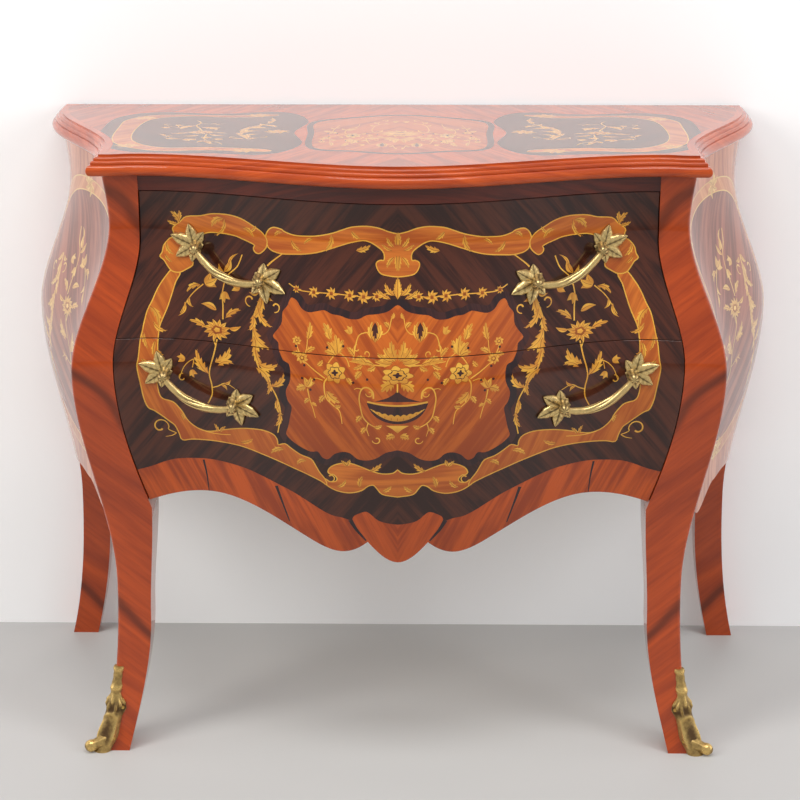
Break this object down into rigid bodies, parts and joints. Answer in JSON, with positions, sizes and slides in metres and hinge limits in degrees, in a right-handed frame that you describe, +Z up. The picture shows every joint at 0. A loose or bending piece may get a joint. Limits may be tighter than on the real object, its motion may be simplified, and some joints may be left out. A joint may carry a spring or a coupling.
{
  "type": "bombe chest",
  "caption": "Bombe chest of drawers with a serpentine front, swelling sides, curved legs, a moulded top, floral marquetry veneer, brass pulls and brass foot mounts.",
  "frame": {"origin": "on the floor, in the middle of the width and of the depth", "axes": "+Z up, +X to the right of someone facing the drawers, -Y towards that person"},
  "size_m": [1.086, 0.533, 0.835],
  "materials": {
    "marquetry_front": "high gloss lacquer over marquetry veneer",
    "marquetry_side": "high gloss lacquer over marquetry veneer",
    "marquetry_top": "high gloss lacquer over marquetry veneer",
    "leg_veneer": "high gloss lacquer over red-orange veneer",
    "moulding_wood": "high gloss lacquer",
    "frieze_veneer": "high gloss lacquer over dark reddish veneer",
    "inner_wood": "sawn, unfinished",
    "drawer_wood": "planed, unfinished",
    "plywood": "sanded, unfinished",
    "handle_brass": "antique, satin",
    "sabot_brass": "antique, satin",
    "pin_brass": "antique, satin",
    "steel": "zinc plated"
  },
  "bodies": {
    "carcase": {"back_left_leg": "leg_veneer", "back_panel": "plywood", "back_panel_screws": "steel", "back_right_leg": "leg_veneer", "bottom_front_rail": "inner_wood", "case_bottom": "plywood", "divider_rail": "inner_wood", "drawer_stops": "inner_wood", "front_left_leg": "leg_veneer", "front_right_leg": "leg_veneer", "glue_blocks": "inner_wood", "left_kicker": "inner_wood", "left_sabot": "sabot_brass", "left_side_panel": "marquetry_side", "lower_back_rail": "inner_wood", "lower_left_runner": "inner_wood", "lower_right_runner": "inner_wood", "middle_back_rail": "inner_wood", "right_kicker": "inner_wood", "right_sabot": "sabot_brass", "right_side_panel": "marquetry_side", "sabot_pins": "pin_brass", "top_back_rail": "inner_wood", "top_board": "marquetry_top", "top_front_rail": "frieze_veneer", "top_moulding_front": "moulding_wood", "top_moulding_left": "moulding_wood", "top_moulding_right": "moulding_wood", "top_screws": "steel", "upper_left_runner": "inner_wood", "upper_right_runner": "inner_wood"},
    "upper_drawer": {"upper_drawer_front": "marquetry_front", "upper_drawer_left_side": "drawer_wood", "upper_drawer_right_side": "drawer_wood", "upper_drawer_back": "drawer_wood", "upper_drawer_bottom": "plywood", "upper_left_handle": "handle_brass", "upper_right_handle": "handle_brass", "upper_handle_bolts": "steel"},
    "lower_drawer": {"lower_drawer_front": "marquetry_front", "lower_drawer_left_side": "drawer_wood", "lower_drawer_right_side": "drawer_wood", "lower_drawer_back": "drawer_wood", "lower_drawer_bottom": "plywood", "lower_left_handle": "handle_brass", "lower_right_handle": "handle_brass", "lower_handle_bolts": "steel"}
  },
  "joints": [
    {"name": "upper_drawer_slide", "type": "slide", "parent": "carcase", "child": "upper_drawer", "axis": [0, -1, 0], "range_m": [0, 0.3]},
    {"name": "lower_drawer_slide", "type": "slide", "parent": "carcase", "child": "lower_drawer", "axis": [0, -1, 0], "range_m": [0, 0.3]}
  ]
}
